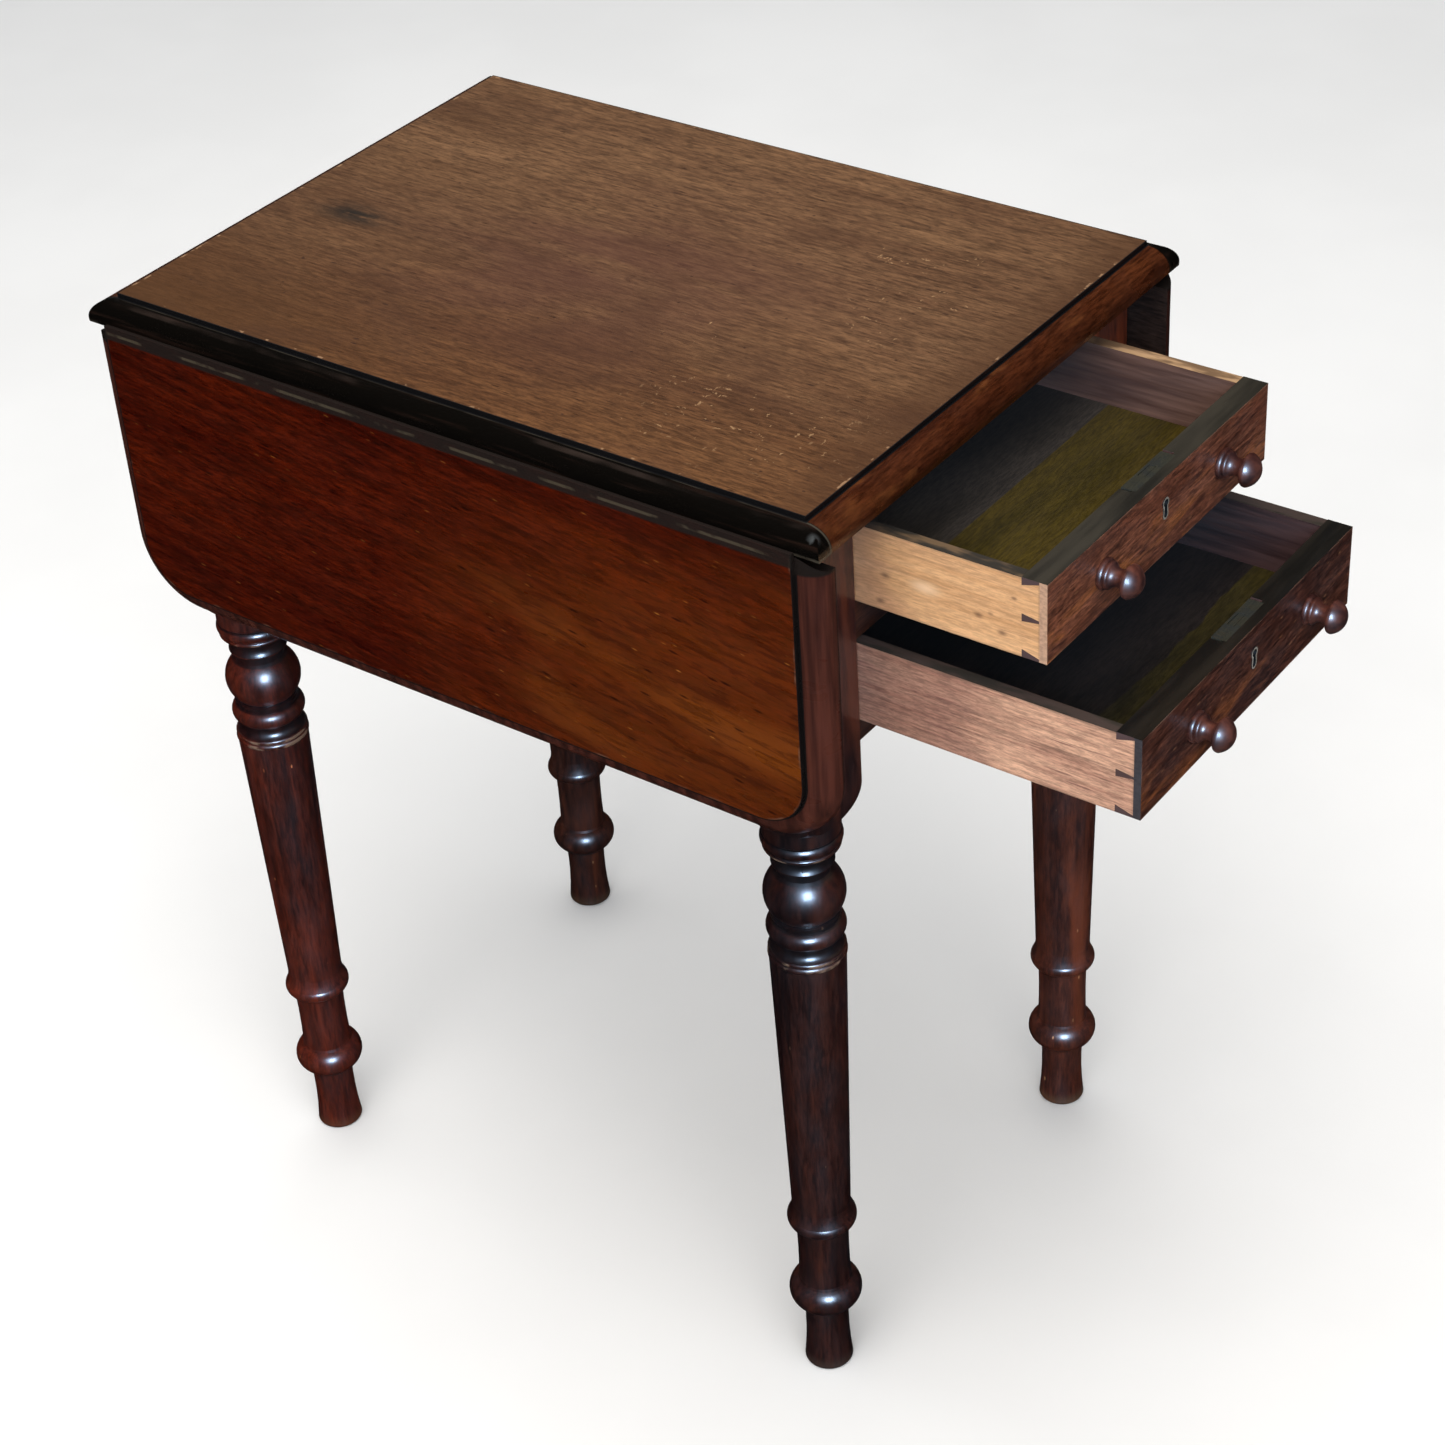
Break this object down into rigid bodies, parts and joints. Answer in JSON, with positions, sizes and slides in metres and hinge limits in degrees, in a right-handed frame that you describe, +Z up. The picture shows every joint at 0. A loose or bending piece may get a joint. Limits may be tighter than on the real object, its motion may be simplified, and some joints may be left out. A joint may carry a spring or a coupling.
{
  "type": "drop-leaf sewing table",
  "caption": "Drop-leaf work table on turned legs, with hanging rule-jointed leaves and locking drawers standing partly open.",
  "frame": {"origin": "on the floor, under the centre of the whole table's bounding box with its drawers partly open", "axes": "+Z up, -Y is the side that the drawers pull out of, +X to the right seen from the front"},
  "size_m": [0.4204, 0.7696, 0.73],
  "materials": {
    "mahogany_top": "worn satin polish, medium brown with a darker purple-brown middle, pale flecks and a dark stain",
    "mahogany_leaf": "polished mahogany, dark red-brown turning orange-brown, with a worn pale top edge",
    "mahogany_leg": "gloss polish, very dark red-brown",
    "mahogany_rail": "satin polish, dark red-brown",
    "drawer_front_wood": "polished mahogany with orange figure",
    "drawer_side_wood": "bare pale pine with a few small knots",
    "drawer_bottom_wood": "bare wood, aged and stained grey-brown and olive",
    "carcass_wood": "bare aged wood",
    "knob_wood": "gloss polish, dark red-brown",
    "lock_brass": "dull, tarnished grey-olive",
    "lock_iron": "dull, slightly rusted",
    "iron_hinge": "dark, lightly rusted",
    "iron_screw": "dull old steel"
  },
  "bodies": {
    "case": {"table_top": "mahogany_top", "top_screws": "iron_screw", "leg_front_left": "mahogany_leg", "leg_front_right": "mahogany_leg", "leg_rear_left": "mahogany_leg", "leg_rear_right": "mahogany_leg", "front_bottom_rail": "mahogany_rail", "drawer_divider": "mahogany_rail", "front_top_rail": "mahogany_rail", "back_panel": "mahogany_rail", "drawer_stops": "carcass_wood", "glue_blocks": "carcass_wood", "side_rail_left": "carcass_wood", "fly_rail_left": "carcass_wood", "fly_bracket_pin_left": "iron_hinge", "upper_runner_left": "carcass_wood", "lower_runner_left": "carcass_wood", "kicker_left": "carcass_wood", "top_hinge_plates_left": "iron_hinge", "top_hinge_screws_left": "iron_screw", "hinge_pins_left": "iron_hinge", "side_rail_right": "carcass_wood", "fly_rail_right": "carcass_wood", "fly_bracket_pin_right": "iron_hinge", "upper_runner_right": "carcass_wood", "lower_runner_right": "carcass_wood", "kicker_right": "carcass_wood", "top_hinge_plates_right": "iron_hinge", "top_hinge_screws_right": "iron_screw", "hinge_pins_right": "iron_hinge"},
    "left_leaf": {"leaf_left": "mahogany_leaf", "leaf_hinge_plates_left": "iron_hinge", "leaf_hinge_screws_left": "iron_screw"},
    "left_fly_bracket": {"fly_bracket_left": "carcass_wood"},
    "right_leaf": {"leaf_right": "mahogany_leaf", "leaf_hinge_plates_right": "iron_hinge", "leaf_hinge_screws_right": "iron_screw"},
    "right_fly_bracket": {"fly_bracket_right": "carcass_wood"},
    "upper_drawer": {"upper_drawer_front": "drawer_front_wood", "upper_drawer_side_left": "drawer_side_wood", "upper_drawer_side_right": "drawer_side_wood", "upper_drawer_back": "drawer_side_wood", "upper_drawer_bottom": "drawer_bottom_wood", "upper_drawer_lock_case": "lock_iron", "upper_drawer_lock_plate": "lock_brass", "upper_drawer_escutcheon": "lock_brass", "upper_drawer_knob_left": "knob_wood", "upper_drawer_knob_right": "knob_wood"},
    "upper_lock_bolt": {"upper_drawer_lock_bolt": "lock_iron"},
    "lower_drawer": {"lower_drawer_front": "drawer_front_wood", "lower_drawer_side_left": "drawer_side_wood", "lower_drawer_side_right": "drawer_side_wood", "lower_drawer_back": "drawer_side_wood", "lower_drawer_bottom": "drawer_bottom_wood", "lower_drawer_lock_case": "lock_iron", "lower_drawer_lock_plate": "lock_brass", "lower_drawer_escutcheon": "lock_brass", "lower_drawer_knob_left": "knob_wood", "lower_drawer_knob_right": "knob_wood"},
    "lower_lock_bolt": {"lower_drawer_lock_bolt": "lock_iron"}
  },
  "joints": [
    {"name": "upper_drawer_slide", "type": "slide", "parent": "case", "child": "upper_drawer", "axis": [0, -1, 0], "range_m": [-0.133, 0.17]},
    {"name": "lower_drawer_slide", "type": "slide", "parent": "case", "child": "lower_drawer", "axis": [0, -1, 0], "range_m": [-0.1958, 0.11]},
    {"name": "left_leaf_hinge", "type": "hinge", "parent": "case", "child": "left_leaf", "pos_m": [-0.194, 0.09625, 0.7138], "axis": [0, 1, 0], "range_deg": [0, 90]},
    {"name": "right_leaf_hinge", "type": "hinge", "parent": "case", "child": "right_leaf", "pos_m": [0.194, 0.09625, 0.7138], "axis": [0, -1, 0], "range_deg": [0, 90]},
    {"name": "left_bracket_swing", "type": "hinge", "parent": "case", "child": "left_fly_bracket", "pos_m": [-0.1795, 0.18425, 0.681], "axis": [0, 0, -1], "range_deg": [0, 1]},
    {"name": "right_bracket_swing", "type": "hinge", "parent": "case", "child": "right_fly_bracket", "pos_m": [0.1795, 0.18425, 0.681], "axis": [0, 0, 1], "range_deg": [0, 1]},
    {"name": "upper_lock_bolt_slide", "type": "slide", "parent": "upper_drawer", "child": "upper_lock_bolt", "axis": [0, 0, 1], "range_m": [0, 0.007]},
    {"name": "lower_lock_bolt_slide", "type": "slide", "parent": "lower_drawer", "child": "lower_lock_bolt", "axis": [0, 0, 1], "range_m": [0, 0.007]}
  ]
}
